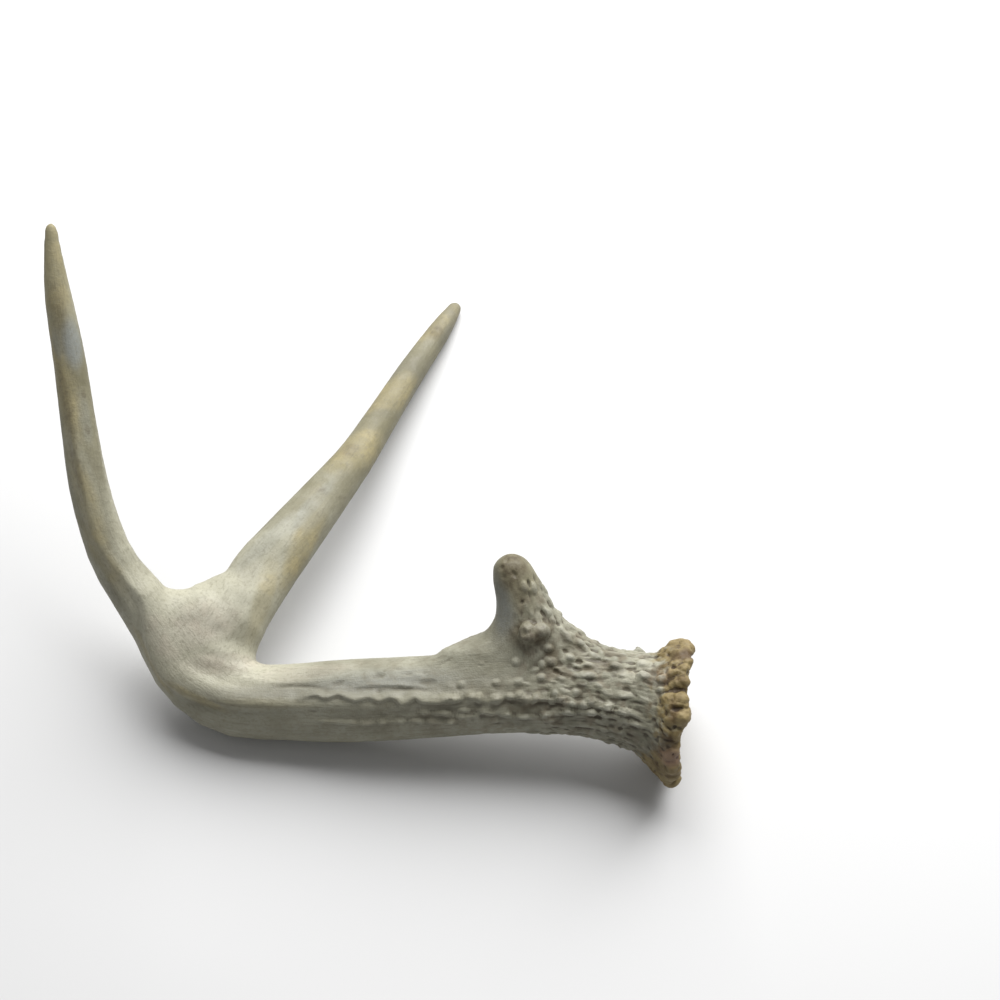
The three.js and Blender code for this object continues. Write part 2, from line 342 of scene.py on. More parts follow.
co = corners(blank.data)
for centre, reach, rounds, pushes in WEB_MELTS:
    co = melted(co, ends, rounds, fade(np.linalg.norm(own - centre, axis=1), reach, reach * 0.5), pushes)
put_back(blank.data, co)
for centre, reach, rounds in FORK_FILLS:
    for _ in range(rounds // ROUNDS_PER_PASS):
        co, out = corners(blank.data), normals(blank.data)
        share = fade(np.linalg.norm(unlaid(co) - centre, axis=1), reach, reach * 0.6)
        for _ in range(ROUNDS_PER_PASS):
            hollow = melted(co, ends, 1, np.ones(len(co)), pushes=(0.5,)) - co
            depth = np.maximum((hollow * out).sum(1), 0)
            co = co + out * (depth * share)[:, None]
        put_back(blank.data, co)
co = melted(corners(blank.data), ends, 10, off_base)
put_back(blank.data, co)
print("filled", len(FORK_FILLS), "forks")

# %% [markdown]
# ## Finding a place on the skin
#
# Much of the relief is placed one by one. A place is named by where it shows when the antler is looked at
# from above its z side, in millimetres on the plane through the middle of the shaft. A ray from the eye
# through that point finds the skin. Places on the burr are named by their turn round the shaft instead:
# 0 is the side away from the tines, 90 the z side, 180 the side of the tines.

# %% Places on the z side and round the burr
EYE = np.array([-74.1, 78, 920])
RIM_MIDDLE = -5.2
RIM_RADII = (26.3, 22.8)
skin = BVHTree.FromObject(blank, bpy.context.evaluated_depsgraph_get())


def on_front(x, y):
    """The place on the skin that shows at x, y, and the outward direction there, in metres on the table."""
    eye, aim = laid(EYE), laid([x, y, 0])
    hit, out, _, _ = skin.ray_cast(Vector(eye), Vector(aim - eye).normalized())
    if hit is None:
        hit, out, _, _ = skin.find_nearest(Vector(aim))
    return np.array(hit), np.array(out)


def on_burr(turn, x):
    """The place on the skin at that turn round the shaft, x millimetres from the burr."""
    angle = math.radians(turn)
    aim = laid([x, RIM_MIDDLE - RIM_RADII[0] * math.cos(angle), RIM_RADII[1] * math.sin(angle)])
    hit, out, _, _ = skin.find_nearest(Vector(aim))
    return np.array(hit), np.array(out)


print("the shaft's middle at the brow tine stands", np.round(on_front(-62, 0)[0] / MM, 1), "mm on the table")

# %% [markdown]
# ## Pearls
#
# Pearls are small bone knobs that grew between the blood vessels. They crowd near the burr and thin out
# towards the first tine. Geometry Nodes scatter them: the density comes from an attribute of the blank,
# and each one is turned to lie along its limb.

# %% How closely the pearls stand
def rough_share(limb, grain, own):
    """How rough the bone is, from 0 on the polished tines to 1 near the burr."""
    beam = 0.4 * fade(grain[:, 0], 172, 120) + 0.6 * fade(grain[:, 0], 105, 72)
    brow = fade(grain[:, 0], 62, 35) * fade(own[:, 0], -74, -62)
    wavy = 2.2 * np.sin(0.55 * own[:, 0]) + 1.2 * np.sin(0.23 * own[:, 0] + 1)
    calm = 0.75 * fade(own[:, 2], 1, 7) * fade(own[:, 0], -56, -70) * fade(own[:, 1] + wavy, -4, 3)
    return np.choose(limb, [beam * (1 - calm), brow, np.zeros(len(limb))])


def put(mesh, name, kind, values):
    """Stores values for each corner of a mesh under a name that nodes can read."""
    layer = mesh.attributes.get(name) or mesh.attributes.new(name, kind, "POINT")
    key = "value" if kind == "FLOAT" else "vector"
    layer.data.foreach_set(key, np.asarray(values, np.float32).ravel())


co = corners(blank.data)
own = unlaid(co)
limb, grain, direction, _ = grain_of(co)
rough = rough_share(limb, grain, own)
front_clear = fade(own[:, 2], 3, 8) * (0.75 + 0.25 * fade(own[:, 0], -50, -62))
on_rim = fade(grain[:, 0], 24, 19)
put(blank.data, "pearly", "FLOAT", fade(grain[:, 0], 112, 60) * rough * (1 - front_clear) * (1 - on_rim))
put(blank.data, "along", "FLOAT_VECTOR", direction)
print("mean roughness:", round(float(rough.mean()), 2))

# %% Helpers for nodes
SMOOTH = {"interpolation_type": "SMOOTHSTEP"}


def add(tree, kind, feeds=None, **settings):
    """Adds a node with its settings. Feeds gives its inputs a value, a socket, or a node's first output."""
    node = tree.nodes.new(kind)
    for name, value in settings.items():
        setattr(node, name, value)
    for place, feed in (feeds or {}).items():
        if isinstance(feed, bpy.types.Node):
            feed = feed.outputs[0]
        if isinstance(feed, bpy.types.NodeSocket):
            tree.links.new(feed, node.inputs[place])
        else:
            node.inputs[place].default_value = feed
    return node


def stretched(grain_vector, long, wide):
    """Grain coordinates measured in a pattern's own length and width, which are in mm."""
    scale = (1 / (long * MM), 1 / (wide * MM), 1 / (wide * MM))
    return add(tree, "ShaderNodeVectorMath", {0: grain_vector, 1: scale}, operation="MULTIPLY")


def new_tree(name, **inputs):
    """A Geometry Nodes tree that takes and gives geometry, with one number input for each given name."""
    tree = bpy.data.node_groups.new(name, "GeometryNodeTree")
    tree.interface.new_socket("Geometry", in_out="INPUT", socket_type="NodeSocketGeometry")
    tree.interface.new_socket("Material", in_out="INPUT", socket_type="NodeSocketMaterial")
    for label, value in inputs.items():
        kind = "NodeSocketInt" if isinstance(value, int) else "NodeSocketFloat"
        tree.interface.new_socket(label, in_out="INPUT", socket_type=kind).default_value = value
    tree.interface.new_socket("Geometry", in_out="OUTPUT", socket_type="NodeSocketGeometry")
    return tree, tree.nodes.new("NodeGroupInput").outputs, tree.nodes.new("NodeGroupOutput").inputs


def ended(geometry):
    """Ends the tree that is worked on in real faces with their material."""
    real = add(tree, "GeometryNodeRealizeInstances", {0: geometry})
    finished = add(tree, "GeometryNodeSetMaterial", {0: real, "Material": given["Material"]})
    tree.links.new(finished.outputs[0], result[0])


def grown(obj, tree, **values):
    """Runs a tree on an object, with those values in its inputs, and keeps the result as its mesh."""
    modifier = obj.modifiers.new(tree.name, "NODES")
    modifier.node_group = tree
    for socket in tree.interface.items_tree:
        if socket.in_out == "INPUT" and socket.name in values:
            modifier[socket.identifier] = values[socket.name]
    return baked(obj)


# %% Scatter the pearls with Geometry Nodes
PEARL_CORNERS = 642

tree, given, result = new_tree("Pearls", Gap=3.0 * MM, Size=1.0, Seed=4)
points = add(tree, "GeometryNodeDistributePointsOnFaces", {
    "Mesh": given["Geometry"],
    "Distance Min": given["Gap"],
    "Density Max": 160000.0,
    "Density Factor": add(tree, "GeometryNodeInputNamedAttribute", {"Name": "pearly"}),
    "Seed": given["Seed"],
}, distribute_method="POISSON")
along = add(tree, "GeometryNodeInputNamedAttribute", {"Name": "along"}, data_type="FLOAT_VECTOR")
lying = add(tree, "FunctionNodeAlignRotationToVector", {
    "Rotation": points.outputs["Rotation"], "Vector": along,
}, axis="X", pivot_axis="Z")
sizes = add(tree, "FunctionNodeRandomValue", {
    0: (1.3 * MM, 0.9 * MM, 0.4 * MM), 1: (3.2 * MM, 1.7 * MM, 0.9 * MM), "Seed": given["Seed"],
}, data_type="FLOAT_VECTOR")
scaled = add(tree, "ShaderNodeVectorMath", {0: sizes, "Scale": given["Size"]}, operation="SCALE")
pearl = add(tree, "GeometryNodeMeshIcoSphere", {"Radius": 1.0, "Subdivisions": 3})
placed = add(tree, "GeometryNodeInstanceOnPoints", {
    "Points": points, "Instance": pearl, "Rotation": lying, "Scale": scaled,
})
ended(placed)

pearls = grown(object_of("pearls", blank.data.copy()), tree, Seed=4)
print("pearls:", len(pearls.data.vertices) // PEARL_CORNERS)

# %% [markdown]
# ## One fine skin
#
# The blank and the pearls become one closed skin with faces under half a millimetre, fine enough to
# carry the smallest relief that the eye can see at arm's length.

# %% Fuse the blank and the pearls
FINE_VOXEL = 0.44

both = bmesh.new()
both.from_mesh(blank.data)
both.from_mesh(pearls.data)
both.to_mesh(blank.data)
both.free()
bpy.data.objects.remove(pearls)
antler = remeshed(blank, FINE_VOXEL)
ends = edges(antler.data)
everywhere = np.ones(len(antler.data.vertices))
co = corners(antler.data)
own = unlaid(co)
co = melted(co, ends, 3, 1 - on_base(own), pushes=(0.5,))
co = melted(co, ends, 12, fade(own[:, 0], -85, -110))
put_back(antler.data, co)
print("antler:", len(antler.data.polygons), "faces")

# %% [markdown]
# ## Lumps and pits set one by one
#
# The large lumps, the pearls along the upper edge and the pits between them each have their own place.
# A lump is an oval dome with a half length, a half width and a height. A pit is the same with a height
# below zero. Raising keeps the higher of two lumps where they overlap, as bone does.

# %% Lift the skin in ovals
own = unlaid(co)
out = melted(normals(antler.data), ends, 8, everywhere, pushes=(0.5,))
out /= np.linalg.norm(out, axis=1)[:, None]
raised = np.zeros(len(co))
sunk = np.zeros(len(co))


def oval(place, heading, half_length, half_width, limit):
    """The corners near a place, how far out in an oval each is, with 1 at its edge, and if they face its way.

    Place is a point and its outward direction in metres, and the rest is in mm.
    """
    at, normal = place
    near = np.flatnonzero(((co - at) ** 2).sum(1) < (max(half_length, half_width) * MM * limit) ** 2)
    long_way = heading - normal * (heading @ normal)
    long_way /= np.linalg.norm(long_way)
    offset = (co[near] - at) / MM
    wide_way = np.cross(normal, long_way)
    reach = (offset @ long_way / half_length) ** 2 + (offset @ wide_way / half_width) ** 2
    return near, reach, out[near] @ normal


def lift(place, heading, half_length, half_width, height, crispness=0.8):
    """Raises or sinks an oval of the skin."""
    near, reach, facing = oval(place, heading, half_length, half_width, 1.5)
    shape = height * np.clip(1 - reach, 0, 1) ** crispness * (facing > 0)
    if height > 0:
        raised[near] = np.maximum(raised[near], shape)
    else:
        sunk[near] = np.minimum(sunk[near], shape)


def heading_of(angle):
    """A direction on the table for an angle in degrees in the antler's x and y."""
    return TURN @ np.array([math.cos(math.radians(angle)), math.sin(math.radians(angle)), 0])


# %% The lumps and pits that show from the z side
FRONT_LUMPS = [
    # x, y, half length, half width, height, angle
    (-89.3, 6, 1.8, 1.7, 0.9, 0), (-81.5, 14.4, 1.3, 1, 0.4, 0), (-68, 14.9, 1.8, 1.7, 0.9, 60),
    (-75.7, 6.7, 1.8, 1.6, 0.9, 0), (-67.1, 7.2, 2.1, 1.8, 1, 0), (-64.2, 6.4, 2.2, 0.8, 0.5, -15),
    (-58.1, 9, 1.9, 1.7, 1.1, 0), (-92.2, 0.2, 3.2, 1.6, 0.9, 0), (-82.1, 0.8, 2.5, 1.7, 1, 80),
    (-75.3, 0, 2.6, 2, 1, 0), (-70, 1.4, 1.7, 1.4, 0.9, 0), (-60.4, 0.8, 3, 1.5, 0.9, 55),
    (-78, -5, 2.4, 1.1, 0.8, 0), (-71, -5.1, 1.6, 0.7, 0.6, 0), (-83.1, -6.6, 2.2, 1.3, 0.7, 80),
    (-49.7, 3.6, 2.2, 1.7, 1, -20), (-53.7, -0.4, 2, 1.4, 0.8, 0), (-45.6, -0.8, 2.2, 1.5, 0.8, 0),
    (-54.4, 15.1, 2.9, 2, 1.3, -20), (-54.9, 20.2, 1.9, 1.6, 1, 0), (-63.6, 28.2, 3.2, 2.8, 1.4, 20),
    (-58.6, 27, 3.2, 3, 1.5, -30), (-61.2, 25, 4.4, 2.4, 1, 0), (-47.6, 24.2, 3.4, 1.5, 0.9, -50),
    (-41.3, 20.7, 3.4, 1.6, 0.9, -40), (-37.1, 17.2, 3.2, 1.6, 0.9, -35), (-33.7, 20.4, 2.6, 1.3, 0.8, -25),
    (-28.5, 13.4, 2.8, 1.5, 0.9, -20), (-38.8, 9.8, 2.4, 2, 1.1, 0), (-19, 14, 2.6, 1.6, 0.8, -15),
    (-18.2, 9.8, 2.8, 1.6, 0.9, -10), (-11, 8.3, 2.4, 1.8, 1, 0), (-106, 9.6, 2, 0.9, 0.3, 0),
    (-47, 17, 2.2, 1.5, 0.9, -30), (-40.5, 14, 2.4, 1.4, 0.8, -20), (-32.5, 15.6, 2.2, 1.4, 0.8, -20),
    (-26, 9.6, 2.6, 1.4, 0.7, -10), (-50.5, 8.2, 2.6, 1.3, 0.8, -15), (-45, 6, 2.4, 1.3, 0.8, -10),
    (-36, 5.6, 2.6, 1.2, 0.7, -10), (-57.5, 14, 2, 1.8, 1, 0), (-60.5, 11.8, 2.2, 1.2, 0.7, 20),
    (-66.5, 2.6, 1.8, 1.4, 0.7, 0), (-88, -3.8, 2.6, 1.2, 0.7, 0), (-96, -4.6, 2.8, 1.1, 0.6, 0),
    (-64.5, -6.4, 2.4, 1.2, 0.7, 10), (-56, -5.2, 2.6, 1.2, 0.7, -10), (-64.6, 44.2, 2.6, 1.7, 0.9, -80),
    (-61, 43.6, 2.8, 1.6, 0.9, -70), (-56, 34.2, 2.2, 1.6, 0.8, -50), (-53.6, 31.4, 2, 1.4, 0.7, -50),
]
BROAD_FORMS = [
    (-183, 17, 24, 10, 2.1, -22), (-186, 13.5, 11, 5, 0.5, -15), (-45, 4, 16, 6, 0.6, -8),
    (-101, 18, 8, 6, 0.8, 5), (-171, 63.6, 16, 12, -2.2, 52), (-212, 53, 11, 9, -1.5, 125),
]
FRONT_PITS = [
    (-52.1, 11.2, 1.6, 1.1, -0.9, -30), (-44.1, 12.1, 2, 1, -0.7, -10), (-42.9, 15, 2.2, 1, -0.8, -30),
    (-31.7, 11.4, 1.8, 0.9, -0.8, -20), (-12.6, 17.8, 1.8, 0.8, -1, 20), (-8.6, 17.9, 1, 0.8, -0.9, 0),
    (-8.6, 13.8, 0.8, 0.6, -0.8, 0), (-65.5, 38.2, 1.1, 0.9, -0.7, 60), (-62.8, 45.2, 2, 0.8, -0.8, -75),
    (-68.4, 49, 1.8, 1.1, -0.8, -60), (-57.2, 33.8, 1.6, 0.9, -0.7, -50),
    (-51.6, 29.8, 1.6, 0.9, -0.7, -50), (-63.8, 54, 2.2, 0.9, -0.5, -60), (-60.4, 47, 2.4, 0.8, -0.6, -65),
    (-48.4, 18.8, 2, 0.9, -0.7, -40), (-36, 23, 1.8, 0.8, -0.6, -35), (-73.6, 51.6, 1.5, 1.1, -0.6, 20),
    (-121.7, 9.4, 3.4, 1.7, -0.5, 0), (-137.3, 6.6, 3.2, 1.3, -0.5, 15), (-102.5, 6.8, 4.2, 1.7, -0.5, 0),
    (-121.5, 3.2, 1.3, 1.1, -0.4, 0), (-109.5, 10.4, 1.8, 0.9, -0.4, 0), (-147, -4.2, 2.4, 1, -0.4, 0),
    (-71.4, 54.4, 1.3, 0.9, -0.5, 40), (-72.6, 48, 1.2, 0.9, -0.5, 80), (-24, 12, 1.8, 0.8, -0.6, -15),
    (-22, 17.5, 2, 0.8, -0.6, -15),
]
for x, y, *shape, angle in FRONT_LUMPS + FRONT_PITS:
    lift(on_front(x, y), heading_of(angle), *shape)
for x, y, *shape, angle in BROAD_FORMS:
    lift(on_front(x, y), heading_of(angle), *shape, crispness=2.0)
print("set", len(FRONT_LUMPS), "lumps and", len(FRONT_PITS), "pits")

# %% [markdown]
# ## The burr
#
# The burr is a crowd of blunt bone fingers that lean outwards round the end of the shaft, with deep
# crevices between them. Those on the z side are listed one by one. The far side follows a rule with a fixed
# seed: a finger every few degrees, each a little different. Slow waves round the rim widen some places
# and draw in others, so the fingers never stand in an even ring.

# %% Fingers and crevices of the burr
BURR_FINGERS = [
    # x, y, half length, half width, height, angle
    (-2.9, 19.3, 4.2, 3, 1, 20), (-0.6, 15.4, 1.6, 2.6, 0.8, 90), (-1.7, 13, 2.8, 1.9, 1.2, 0),
    (-6.2, 14.6, 3.4, 1.7, 0.8, 25), (-4.4, 7.2, 5.2, 2, 1.6, 8), (-6.9, 10.8, 3, 1.4, 0.8, 10),
    (-2.9, 1.4, 3.1, 2.5, 1.4, 0), (-9, 0.6, 3.2, 1.6, 0.8, -10), (-7.9, -8, 2.9, 2.3, 1.1, -20),
    (-3.8, -7.4, 2.3, 2.5, 1.2, 0), (-9.4, -11.4, 3.6, 1.5, 1, -50), (-4.6, -13.6, 2.6, 3, 1, 90),
    (-7.4, -21.6, 2.9, 3.6, 1.3, 90), (-3.5, -21.5, 1.5, 3.6, 0.7, 90), (-5, -29, 3.6, 3, 1.2, 0),
    (-11, -17, 3.2, 1.4, 0.7, -60), (-10.6, 4.6, 2.6, 1.3, 0.6, 0),
]
BURR_CREVICES = [
    (0.6, 18.9, 2.1, 1.3, -3.4, 80), (-0.2, 11, 1.3, 0.9, -1.1, 0), (-8.6, 3.8, 3.2, 0.9, -0.7, 5),
    (-4.5, -3.3, 3, 1.2, -2, 5), (-8.4, -15.9, 2.6, 1.1, -0.9, 0), (-6.7, -21.4, 0.9, 0.9, -0.9, 0),
    (-9.2, -26.2, 1.8, 1, -0.5, -60), (-2.6, 4.4, 2.2, 0.7, -0.7, 0), (-5.4, 10, 2.4, 0.7, -0.6, 10),
    (-6, -10.4, 1.6, 0.8, -0.6, 80), (-5.2, -17.2, 2.4, 0.8, -0.6, 0), (-12.6, 17, 1.8, 0.8, -0.5, 20),
]
FAR_FINGERS = 12
FAR_START, FAR_END = 188, 372
chance = np.random.default_rng(11)


def burr_heading(turn, angle):
    """A direction on the table that leans from the shaft's own by an angle, at that turn round it."""
    turn, angle = math.radians(turn), math.radians(angle)
    round_it = np.array([0, math.sin(turn), math.cos(turn)])
    return TURN @ (np.array([math.cos(angle), 0, 0]) + math.sin(angle) * round_it)


far = []
for turn in np.linspace(FAR_START, FAR_END, FAR_FINGERS):
    wobble = chance.uniform(-1, 1, 5)
    finger = (4.2 + 1.4 * wobble[2], 3.4 + 1.2 * wobble[3], 1.4 + 0.6 * wobble[4], 30 * wobble[2])
    crevice = (2.8 + wobble[3], 1.1, -1.5, 20 * wobble[0])
    far.append((turn + 6 * wobble[0], -4.5 + 2 * wobble[1], *finger))
    far.append((turn + 8 + 3 * wobble[1], -5 + 2.5 * wobble[4], *crevice))
for x, y, *shape, angle in BURR_FINGERS + BURR_CREVICES:
    lift(on_front(x, y), heading_of(angle), *shape, crispness=0.9)
for turn, x, *shape, angle in far:
    lift(on_burr(turn, x), burr_heading(turn, angle), *shape, crispness=0.9)
depth, up, side = base_places(own)
around = np.arctan2(side, up)
swell = 0.9 * np.sin(5 * around + 0.6) + 0.7 * np.sin(8 * around + 2)
swell += 0.5 * np.sin(13 * around + 0.4 * depth)
swell *= (1 - on_base(own)) * fade(own[:, 0], -15, -7) * fade(co[:, 2] / MM, 3, 9)
print("the burr has", len(BURR_FINGERS) + FAR_FINGERS, "fingers")

# %% [markdown]
# ## The long edge and the scalloped ridges
#
# The shaft isn't round. Along its z side runs an edge: the bone is flat above it and falls away below,
# and the edge goes on round the bend and up the long tine. Near the burr it breaks up into ridges, and
# their crests are scalloped, because pearls have grown together in rows. A stroke lifts the skin along a
# line, with one width on each side of it, and swells to and fro along the way.

# %% Strokes along a line of places
def stroke(points, height, left_width, right_width, swells=0, fade_length=10):
    """Lifts the skin along a line of x, y points of the z side. Left and right are as one walks along it."""
    line = smooth_line([(x, y, 0, 0) for x, y in points])[:, :2]
    places = [on_front(x, y) for x, y in line]
    at = np.array([p for p, _ in places])
    normal = np.array([n for _, n in places])
    walk = np.gradient(at, axis=0)
    walk /= np.linalg.norm(walk, axis=1)[:, None] + 1e-12
    left = np.cross(normal, walk)
    steps = np.arange(len(at)) * LINE_STEP
    strength = fade(np.minimum(steps, steps[::-1]), 0, fade_length) * height
    if swells:
        wave = 2 * math.pi * steps / swells
        strength *= 0.6 + 0.28 * np.sin(wave + line[0, 1]) + 0.12 * np.sin(1.7 * wave + 3 * line[0, 0])
    widest = 2.2 * max(left_width, right_width) * MM
    low, high = at.min(0) - widest, at.max(0) + widest
    near = np.flatnonzero(((co > low) & (co < high)).all(1))
    nearest = np.empty(len(near), int)
    for start in range(0, len(near), CHUNK):
        part = slice(start, start + CHUNK)
        nearest[part] = ((co[near[part], None, :] - at[None]) ** 2).sum(2).argmin(1)
    offset = ((co[near] - at[nearest]) * left[nearest]).sum(1) / MM
    width = np.where(offset > 0, left_width, right_width)
    facing = fade((out[near] * normal[nearest]).sum(1), 0.05, 0.6)
    return near, strength[nearest] * np.exp(-((offset / width) ** 2)) * facing


SHAFT_EDGE = [
    (-84, 0), (-96, -1.6), (-109, -0.6), (-124, -2), (-136, -1.4), (-156, -1.8), (-172, -0.9), (-190, 1.4),
]
BEND_EDGE = [
    (-150, -1.6), (-165, -1.3), (-179, -0.4), (-194.3, 3), (-201, 6.9), (-206, 11.8), (-210, 22.2),
    (-212.5, 38), (-220, 48), (-230, 62), (-236, 85), (-242, 120),
]
STROKES = [
    # points, height, width on the left, width on the right, length of a swell, length of the faded ends
    (SHAFT_EDGE, 0.8, 2.4, 3.6, 0, 26), (BEND_EDGE, 2.3, 2.4, 8, 0, 26),
    ([(-155, 0), (-152, 0.4), (-146, 1.6), (-142, 0.7), (-137, 1.8), (-134, 0.9), (-130, 0.1), (-125, 1),
      (-121, 0), (-117, 1.1), (-114, 0.3), (-112, -1.4), (-109, 0), (-107, 1.1), (-104, -0.2), (-97.5, -0.4),
      (-93, 1.2), (-87, -0.4)], 1.3, 2.2, 0.8, 0),
    ([(-103, -0.2), (-95, -0.6), (-87, 1.2), (-79, -0.2), (-71, 1.4), (-63, 0.2), (-54, 0.6), (-45, -1.6),
      (-34, -2.6), (-19, -6)], 1.6, 2, 0.9, 8.5),
    ([(-112, -4.6), (-98, -5), (-87, -6.6), (-79, -4.2), (-70, -6.2), (-58, -6.4), (-46, -4.4), (-33, -6),
      (-22, -8)], 1.3, 1.7, 0.8, 8),
    ([(-42.9, 5.4), (-36, 4), (-30.4, 1.9), (-22, 1), (-12, -1.6)], 0.7, 1.3, 0.8, 7),
    ([(-39, -1.9), (-30, -4), (-22, -5.6), (-13.7, -8.4)], 0.6, 1.1, 0.8, 0),
    ([(-33.1, 7.8), (-24, 6.8), (-13.7, 5.1)], 0.7, 1.2, 0.8, 7.5),
    ([(-30, 11.8), (-22, 11.6), (-13, 11)], 0.6, 1.2, 0.8, 7),
    ([(-23.4, 3.6), (-17, 2.4), (-10.9, 1.4)], 0.5, 1, 0.8, 0),
    ([(-28.5, -7.4), (-20, -9.6), (-11.7, -13.4)], 0.6, 1.1, 0.8, 0),
    ([(-58.5, -9.8), (-46, -9.6), (-35, -10.8), (-26, -13), (-19.5, -16.4)], 0.6, 1.2, 0.8, 0),
    ([(-136, -8.2), (-128, -9.2), (-120, -8.8), (-108, -8.4), (-97, -8.8), (-84, -8.4)], 1.2, 1.3, 0.7, 6.5),
    ([(-150, -7.8), (-138, -8.6), (-126, -9.6)], 0.7, 1.2, 0.7, 0),
    ([(-101, -10.4), (-86, -10.6), (-74, -10.2), (-62, -12)], 0.5, 1.2, 0.8, 9),
    ([(-60, 12.4), (-52, 11.6), (-44, 9.4), (-37, 7.4)], 0.6, 1.3, 0.8, 7),
    ([(-165, 4.6), (-153, 5.4), (-140, 4.4)], -0.6, 1.1, 0.7),
    ([(-134, 5), (-118, 5.8), (-102, 4.6)], 0.6, 1.5, 0.8),
    ([(-121, 3.6), (-109, 4.2), (-98, 3.2)], -0.6, 1, 0.7),
    ([(-150, 6), (-165, 7), (-180, 9)], 0.3, 1.3, 1),
    ([(-135, 12), (-155, 12.5), (-170, 13)], 0.3, 1.3, 1),
    ([(-163, 55), (-171, 38), (-176, 25), (-178, 17)], 0.5, 3, 2.2),
    ([(-196, 23), (-189, 18), (-181, 15.4), (-170, 14)], -0.3, 2.2, 1.6),
]
stroked = np.zeros(len(co))
for points, *shape in STROKES:
    near, lifted = stroke(points, *shape)
    stroked[near] += lifted
lifts = melted((raised + sunk)[:, None], ends, 2, everywhere, pushes=(0.5,))[:, 0] + stroked + swell
co = co + out * (lifts * MM)[:, None]
print("lifted by up to", (raised + stroked).max().round(2), "mm, sunk by up to", -sunk.min().round(2), "mm")

# %% [markdown]
# ## The sawn base
#
# The antler was cut off its skull with a saw. The first cut ran in from one side and the bone snapped,
# so the upper part of the face stands proud with a ragged edge, and the last of it was sawn off at a
# slant. Each of these moves only the corners of the face, along the direction of the cut.

# %% Facets of the sawn face
STEP_HEIGHT = 1.7
SLANT_START, SLANT = -0.27, 0.3

depth, up, side = base_places(own)
face_share = fade(depth, 5.2, 4.6) * fade(depth, 1.4, 2.2) * fade(np.hypot(up, side), 0.665, 0.645)
ragged = 0.17 - 0.22 * side + 0.035 * np.sin(13 * side) + 0.02 * np.sin(31 * side + 1)
proud = STEP_HEIGHT * fade(up - ragged, -0.012, 0.012)
slanted = SLANT * np.minimum(up - SLANT_START, 0) * BASE_RADII[0]
saw_marks = 0.05 * np.sin(60 * up + 9 * side) * fade(up, ragged, ragged - 0.02)
co = co + (TURN @ BASE_OUT) * (face_share * (proud + slanted + saw_marks) * MM)[:, None]
put_back(antler.data, co)
print("the sawn face has", int((face_share > 0.5).sum()), "corners")

# %% [markdown]
# ## Grooves, knots and grain
#
# Between the large forms the whole surface is worked: grooves of blood vessels run along the limbs,
# small knots break them up near the burr, and a faint grain is left even on the polished tines. A second
# tree moves every corner by noise that is stretched along the grain coordinates.

# %% Work the surface with Geometry Nodes
limb, grain, _, clear = grain_of(co)
rough = rough_share(limb, grain, own)
put(antler.data, "grain", "FLOAT_VECTOR", grain * MM)
put(antler.data, "rough", "FLOAT", rough)
put(antler.data, "worked", "FLOAT", (1 - on_base(own)) * (0.15 + 0.85 * clear))

heights = {"Groove": 0.19 * MM, "Knot": 0.2 * MM, "Grain": 0.03 * MM, "Pit": 0.45 * MM}
tree, given, result = new_tree("Relief", **heights)
grain_vector = add(tree, "GeometryNodeInputNamedAttribute", {"Name": "grain"}, data_type="FLOAT_VECTOR")
rough_value = add(tree, "GeometryNodeInputNamedAttribute", {"Name": "rough"})
worked = add(tree, "GeometryNodeInputNamedAttribute", {"Name": "worked"})


def ridged(long, wide, detail):
    """Sharp-edged waves from -1 to 1: noise folded at its middle. Long and wide are a ridge's size in mm."""
    place = stretched(grain_vector, long, wide)
    feeds = {"Vector": place, "Scale": 1.0, "Detail": detail, "Distortion": 0.4}
    noise = add(tree, "ShaderNodeTexNoise", feeds)
    fold = add(tree, "ShaderNodeMath", {0: noise, 1: 0.5}, operation="SUBTRACT")
    steep = add(tree, "ShaderNodeMath", {0: fold}, operation="ABSOLUTE")
    return add(tree, "ShaderNodeMath", {0: steep, 1: -9.0, 2: 1.0}, operation="MULTIPLY_ADD")


# %% Heights of the grooves, the knots, the grain and the pits, added up
grooved = {0: rough_value, 1: 0.88, 2: 0.12}
grooved = add(tree, "ShaderNodeMath", grooved, operation="MULTIPLY_ADD")
grooves = add(tree, "ShaderNodeMath", {0: ridged(22, 4.4, 2.0), 1: grooved}, operation="MULTIPLY")
knots = add(tree, "ShaderNodeMath", {0: ridged(6.5, 3.6, 1.0), 1: rough_value}, operation="MULTIPLY")
cells = add(tree, "ShaderNodeTexVoronoi", {"Vector": stretched(grain_vector, 5.5, 3.4), "Scale": 1.0})
hollow = add(tree, "ShaderNodeMapRange", {
    "Value": cells.outputs["Distance"], 1: 0.42, 2: 0.12, 3: 0.0, 4: -1.0,
}, **SMOOTH)
cell_number = add(tree, "ShaderNodeSeparateXYZ", {0: cells.outputs["Color"]})
chosen = add(tree, "ShaderNodeMath", {0: cell_number, 1: 0.66}, operation="GREATER_THAN")
pits = hollow
for share in (chosen, rough_value):
    pits = add(tree, "ShaderNodeMath", {0: pits, 1: share}, operation="MULTIPLY")
height = 0.0
for name, form in zip(heights, (grooves, knots, ridged(9, 1.3, 1.0), pits)):
    feeds = {0: form, 1: given[name], 2: height}
    height = add(tree, "ShaderNodeMath", feeds, operation="MULTIPLY_ADD")
height = add(tree, "ShaderNodeMath", {0: height, 1: worked}, operation="MULTIPLY")

# %% Move the corners by the heights
normal = add(tree, "GeometryNodeInputNormal")
offset = add(tree, "ShaderNodeVectorMath", {0: normal, "Scale": height}, operation="SCALE")
moved = add(tree, "GeometryNodeSetPosition", {"Geometry": given["Geometry"], "Offset": offset})
ended(moved)
grown(antler, tree, **heights)
print("worked", len(antler.data.vertices), "corners")
